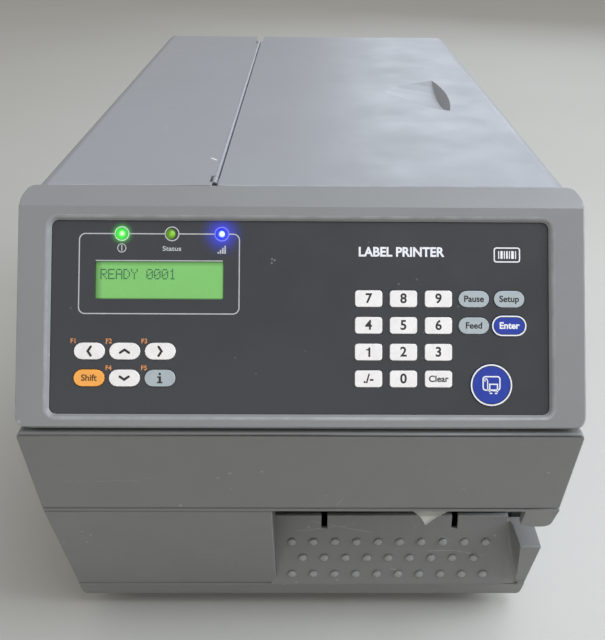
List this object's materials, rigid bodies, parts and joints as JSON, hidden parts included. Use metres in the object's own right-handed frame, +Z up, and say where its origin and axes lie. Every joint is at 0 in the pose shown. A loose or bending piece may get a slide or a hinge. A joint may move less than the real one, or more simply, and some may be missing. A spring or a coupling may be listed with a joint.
{
  "type": "thermal label printer",
  "caption": "Bench label printer with keypad console, lift-up side door, swing-out front door, studded label chute and a working print mechanism inside.",
  "frame": {"origin": "centre of the bounding box on the surface that the feet stand on", "axes": "+X to the right seen from the front, the front faces -Y, +Z up"},
  "size_m": [0.276, 0.482, 0.283],
  "materials": {
    "cover_paint": "fine orange-peel bluish grey paint",
    "bezel_plastic": "fine-grained grey moulding",
    "lower_plastic": "fine-grained darker grey moulding",
    "overlay_film": "satin near-black printed film",
    "display_glass": "backlit yellow-green display",
    "lamp_lens": "clear light guide",
    "circuit_board": "green solder mask",
    "bright_steel": "ground steel",
    "sheet_steel": "plated sheet steel",
    "black_plastic": "satin black",
    "grey_plastic": "satin dark grey",
    "foot_rubber": "matt black rubber",
    "platen_rubber": "ground black rubber",
    "pinion_brass": "machined",
    "head_aluminium": "cast and machined",
    "motor_casing": "black anodised",
    "lever_plastic": "satin green",
    "label_paper": "matt white label stock",
    "key_white": "satin white",
    "key_grey": "satin grey",
    "key_orange": "satin orange",
    "key_blue": "satin blue"
  },
  "bodies": {
    "housing": {"left_cover": "cover_paint", "door_hinge_pin": "bright_steel", "rear_panel": "sheet_steel", "base_tray": "sheet_steel", "foot_front_left": "foot_rubber", "foot_front_right": "foot_rubber", "foot_rear_left": "foot_rubber", "foot_rear_right": "foot_rubber", "centre_plate": "sheet_steel", "outer_bracket": "sheet_steel", "console_bezel": "bezel_plastic", "front_door_pin": "bright_steel", "lower_front": "lower_plastic", "keypad_overlay": "overlay_film", "display_module": "display_glass", "light_guide": "lamp_lens", "console_board": "circuit_board", "drive_motor": "motor_casing", "head_shaft": "bright_steel", "tear_bar": "bright_steel", "guide_plate": "sheet_steel", "label_remnant": "label_paper", "main_board": "circuit_board", "power_supply": "sheet_steel", "power_inlet": "black_plastic"},
    "side_door": {"side_door": "cover_paint"},
    "front_door": {"front_door": "lower_plastic"},
    "print_head": {"print_head": "head_aluminium"},
    "head_lever": {"head_lever": "lever_plastic"},
    "platen": {"platen_roller": "platen_rubber", "platen_gear": "grey_plastic"},
    "motor_pinion": {"motor_pinion": "pinion_brass"},
    "media_hub": {"media_hub": "grey_plastic"},
    "ribbon_supply_hub": {"ribbon_supply_hub": "black_plastic"},
    "ribbon_rewind_hub": {"ribbon_rewind_hub": "black_plastic"},
    "media_guide": {"media_guide": "lever_plastic"},
    "power_switch": {"power_switch": "black_plastic"},
    "key_0": {"key_0": "key_white"},
    "key_1": {"key_1": "key_white"},
    "key_2": {"key_2": "key_white"},
    "key_3": {"key_3": "key_white"},
    "key_4": {"key_4": "key_white"},
    "key_5": {"key_5": "key_white"},
    "key_6": {"key_6": "key_white"},
    "key_7": {"key_7": "key_white"},
    "key_8": {"key_8": "key_white"},
    "key_9": {"key_9": "key_white"},
    "key_point": {"key_point": "key_white"},
    "key_clear": {"key_clear": "key_white"},
    "key_left": {"key_left": "key_white"},
    "key_up": {"key_up": "key_white"},
    "key_right": {"key_right": "key_white"},
    "key_down": {"key_down": "key_white"},
    "key_pause": {"key_pause": "key_grey"},
    "key_setup": {"key_setup": "key_grey"},
    "key_feed": {"key_feed": "key_grey"},
    "key_info": {"key_info": "key_grey"},
    "key_shift": {"key_shift": "key_orange"},
    "key_enter": {"key_enter": "key_blue"},
    "key_print": {"key_print": "key_blue"}
  },
  "joints": [
    {"name": "side_door_hinge", "type": "hinge", "parent": "housing", "child": "side_door", "pos_m": [-0.0446, 0, 0.2812], "axis": [0, -1, 0], "range_deg": [0, 105]},
    {"name": "front_door_hinge", "type": "hinge", "parent": "housing", "child": "front_door", "pos_m": [-0.131, -0.1865, 0.148], "axis": [0, 0, -1], "range_deg": [0, 100]},
    {"name": "head_lift", "type": "hinge", "parent": "housing", "child": "print_head", "pos_m": [0.05, -0.128, 0.122], "axis": [-1, 0, 0], "range_deg": [0, 20]},
    {"name": "head_lever_turn", "type": "hinge", "parent": "housing", "child": "head_lever", "pos_m": [0.126, -0.128, 0.122], "axis": [-1, 0, 0], "range_deg": [0, 80]},
    {"name": "platen_spin", "type": "hinge", "parent": "housing", "child": "platen", "pos_m": [0.05, -0.172, 0.087], "axis": [1, 0, 0], "continuous": true},
    {"name": "pinion_spin", "type": "hinge", "parent": "housing", "child": "motor_pinion", "pos_m": [-0.032, -0.148, 0.087], "axis": [1, 0, 0], "continuous": true},
    {"name": "media_hub_spin", "type": "hinge", "parent": "housing", "child": "media_hub", "pos_m": [0.04, 0.104, 0.138], "axis": [1, 0, 0], "continuous": true},
    {"name": "ribbon_supply_spin", "type": "hinge", "parent": "housing", "child": "ribbon_supply_hub", "pos_m": [0.04, -0.042, 0.222], "axis": [1, 0, 0], "continuous": true},
    {"name": "ribbon_rewind_spin", "type": "hinge", "parent": "housing", "child": "ribbon_rewind_hub", "pos_m": [0.04, -0.132, 0.222], "axis": [1, 0, 0], "continuous": true},
    {"name": "media_guide_slide", "type": "slide", "parent": "housing", "child": "media_guide", "axis": [1, 0, 0], "range_m": [-0.06, 0]},
    {"name": "power_switch_rock", "type": "hinge", "parent": "housing", "child": "power_switch", "pos_m": [-0.066, 0.234, 0.039], "axis": [1, 0, 0], "range_deg": [-16, 0]},
    {"name": "key_0_press", "type": "slide", "parent": "housing", "child": "key_0", "axis": [0, 0.8758, -0.4827], "range_m": [0, 0.0005], "stiffness_N_per_m": 400, "springref_m": -0.0005},
    {"name": "key_1_press", "type": "slide", "parent": "housing", "child": "key_1", "axis": [0, 0.8758, -0.4827], "range_m": [0, 0.0005], "stiffness_N_per_m": 400, "springref_m": -0.0005},
    {"name": "key_2_press", "type": "slide", "parent": "housing", "child": "key_2", "axis": [0, 0.8758, -0.4827], "range_m": [0, 0.0005], "stiffness_N_per_m": 400, "springref_m": -0.0005},
    {"name": "key_3_press", "type": "slide", "parent": "housing", "child": "key_3", "axis": [0, 0.8758, -0.4827], "range_m": [0, 0.0005], "stiffness_N_per_m": 400, "springref_m": -0.0005},
    {"name": "key_4_press", "type": "slide", "parent": "housing", "child": "key_4", "axis": [0, 0.8758, -0.4827], "range_m": [0, 0.0005], "stiffness_N_per_m": 400, "springref_m": -0.0005},
    {"name": "key_5_press", "type": "slide", "parent": "housing", "child": "key_5", "axis": [0, 0.8758, -0.4827], "range_m": [0, 0.0005], "stiffness_N_per_m": 400, "springref_m": -0.0005},
    {"name": "key_6_press", "type": "slide", "parent": "housing", "child": "key_6", "axis": [0, 0.8758, -0.4827], "range_m": [0, 0.0005], "stiffness_N_per_m": 400, "springref_m": -0.0005},
    {"name": "key_7_press", "type": "slide", "parent": "housing", "child": "key_7", "axis": [0, 0.8758, -0.4827], "range_m": [0, 0.0005], "stiffness_N_per_m": 400, "springref_m": -0.0005},
    {"name": "key_8_press", "type": "slide", "parent": "housing", "child": "key_8", "axis": [0, 0.8758, -0.4827], "range_m": [0, 0.0005], "stiffness_N_per_m": 400, "springref_m": -0.0005},
    {"name": "key_9_press", "type": "slide", "parent": "housing", "child": "key_9", "axis": [0, 0.8758, -0.4827], "range_m": [0, 0.0005], "stiffness_N_per_m": 400, "springref_m": -0.0005},
    {"name": "key_point_press", "type": "slide", "parent": "housing", "child": "key_point", "axis": [0, 0.8758, -0.4827], "range_m": [0, 0.0005], "stiffness_N_per_m": 400, "springref_m": -0.0005},
    {"name": "key_clear_press", "type": "slide", "parent": "housing", "child": "key_clear", "axis": [0, 0.8758, -0.4827], "range_m": [0, 0.0005], "stiffness_N_per_m": 400, "springref_m": -0.0005},
    {"name": "key_left_press", "type": "slide", "parent": "housing", "child": "key_left", "axis": [0, 0.8758, -0.4827], "range_m": [0, 0.0005], "stiffness_N_per_m": 400, "springref_m": -0.0005},
    {"name": "key_up_press", "type": "slide", "parent": "housing", "child": "key_up", "axis": [0, 0.8758, -0.4827], "range_m": [0, 0.0005], "stiffness_N_per_m": 400, "springref_m": -0.0005},
    {"name": "key_right_press", "type": "slide", "parent": "housing", "child": "key_right", "axis": [0, 0.8758, -0.4827], "range_m": [0, 0.0005], "stiffness_N_per_m": 400, "springref_m": -0.0005},
    {"name": "key_down_press", "type": "slide", "parent": "housing", "child": "key_down", "axis": [0, 0.8758, -0.4827], "range_m": [0, 0.0005], "stiffness_N_per_m": 400, "springref_m": -0.0005},
    {"name": "key_pause_press", "type": "slide", "parent": "housing", "child": "key_pause", "axis": [0, 0.8758, -0.4827], "range_m": [0, 0.0005], "stiffness_N_per_m": 400, "springref_m": -0.0005},
    {"name": "key_setup_press", "type": "slide", "parent": "housing", "child": "key_setup", "axis": [0, 0.8758, -0.4827], "range_m": [0, 0.0005], "stiffness_N_per_m": 400, "springref_m": -0.0005},
    {"name": "key_feed_press", "type": "slide", "parent": "housing", "child": "key_feed", "axis": [0, 0.8758, -0.4827], "range_m": [0, 0.0005], "stiffness_N_per_m": 400, "springref_m": -0.0005},
    {"name": "key_info_press", "type": "slide", "parent": "housing", "child": "key_info", "axis": [0, 0.8758, -0.4827], "range_m": [0, 0.0005], "stiffness_N_per_m": 400, "springref_m": -0.0005},
    {"name": "key_shift_press", "type": "slide", "parent": "housing", "child": "key_shift", "axis": [0, 0.8758, -0.4827], "range_m": [0, 0.0005], "stiffness_N_per_m": 400, "springref_m": -0.0005},
    {"name": "key_enter_press", "type": "slide", "parent": "housing", "child": "key_enter", "axis": [0, 0.8758, -0.4827], "range_m": [0, 0.0005], "stiffness_N_per_m": 400, "springref_m": -0.0005},
    {"name": "key_print_press", "type": "slide", "parent": "housing", "child": "key_print", "axis": [0, 0.8758, -0.4827], "range_m": [0, 0.0005], "stiffness_N_per_m": 400, "springref_m": -0.0005}
  ],
  "couplings": [
    {"joint": "head_lever_turn", "follows": "head_lift", "ratio": 4},
    {"joint": "pinion_spin", "follows": "platen_spin", "ratio": -3}
  ]
}
